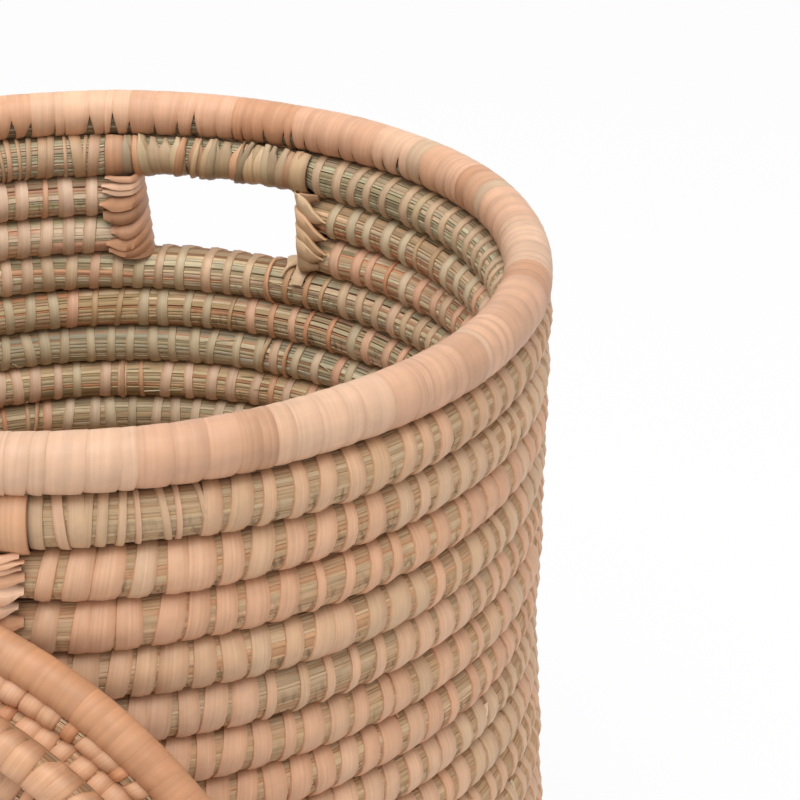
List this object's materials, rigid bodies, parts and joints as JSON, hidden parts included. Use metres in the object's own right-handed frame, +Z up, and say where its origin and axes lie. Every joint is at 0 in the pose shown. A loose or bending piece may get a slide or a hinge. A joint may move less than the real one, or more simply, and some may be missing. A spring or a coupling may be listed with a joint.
{
  "type": "lidded basket",
  "caption": "Round coiled-grass basket with a straight wall, bound hand holes under a leaf-wrapped rim, and a loose coiled lid leaning on it that closes on the rim.",
  "frame": {"origin": "on the floor at the middle of the base", "axes": "+Z up along the basket's axis; the back hand hole faces +Y, the front one nearly -Y, and the lid leans there"},
  "size_m": [0.4372, 0.5355, 0.4638],
  "materials": {
    "grass_bundle": "dry grass, matt",
    "pale_grass_bundle": "dry pale grass, matt",
    "leaf_strip": "dried palm leaf, satin",
    "tan_leaf_strip": "dried tan palm leaf, satin"
  },
  "bodies": {
    "basket": {"base_knot": "leaf_strip", "base_coil": "grass_bundle", "wall_coil": "grass_bundle", "lower_hole_course_right": "grass_bundle", "lower_hole_course_left": "grass_bundle", "upper_hole_course_right": "grass_bundle", "upper_hole_course_left": "grass_bundle", "front_hole_binding_a": "leaf_strip", "front_hole_binding_b": "leaf_strip", "back_hole_binding_a": "leaf_strip", "back_hole_binding_b": "leaf_strip", "handle_course": "pale_grass_bundle", "front_grip_wrap": "leaf_strip", "back_grip_wrap": "leaf_strip", "rim_core": "grass_bundle", "rim_wrap": "leaf_strip"},
    "lid": {"lid_knot": "leaf_strip", "lid_coil": "pale_grass_bundle", "lid_edge_core": "grass_bundle", "lid_edge_wrap": "tan_leaf_strip", "lid_seat_ring": "pale_grass_bundle"}
  },
  "joints": [
    {"name": "lid_flip", "type": "hinge", "parent": "basket", "child": "lid", "pos_m": [-0.01148, -0.2347, 0.43918], "axis": [-0.9988, 0.0489, 0], "range_deg": [0, 257]}
  ]
}
